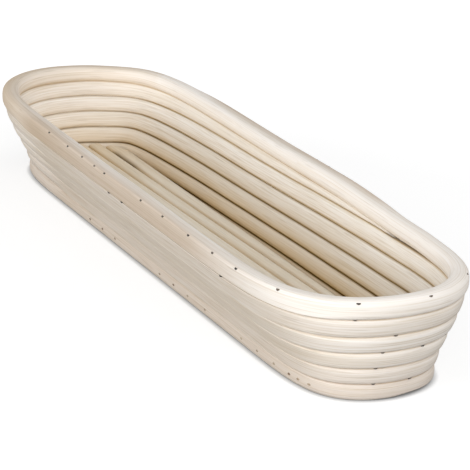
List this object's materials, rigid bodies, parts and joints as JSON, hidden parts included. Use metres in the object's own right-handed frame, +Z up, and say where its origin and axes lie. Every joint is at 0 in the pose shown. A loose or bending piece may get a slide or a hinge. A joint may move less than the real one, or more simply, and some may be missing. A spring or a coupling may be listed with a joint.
{
  "type": "proofing basket",
  "caption": "Long oval proofing basket wound from rattan cane, with flared walls, a thicker rim hoop and a floor of straight canes held by small steel brads.",
  "frame": {"origin": "on the table plane, under the middle of the basket", "axes": "+X along the basket's length, +Y across it, +Z up"},
  "size_m": [0.43, 0.1186, 0.0549],
  "materials": {
    "wall_rattan": "sanded bare cane",
    "rim_rattan": "sanded bare cane",
    "floor_rattan": "sanded bare cane",
    "brad_steel": "dull"
  },
  "bodies": {
    "root": {"wall_cane": "wall_rattan", "rim_hoop": "rim_rattan", "floor_cane_1": "floor_rattan", "floor_cane_2": "floor_rattan", "floor_cane_3": "floor_rattan", "floor_cane_4": "floor_rattan", "floor_cane_5": "floor_rattan", "floor_cane_6": "floor_rattan", "floor_cane_7": "floor_rattan", "rim_brads": "brad_steel", "wall_brads": "brad_steel", "base_brads": "brad_steel"}
  },
  "joints": []
}
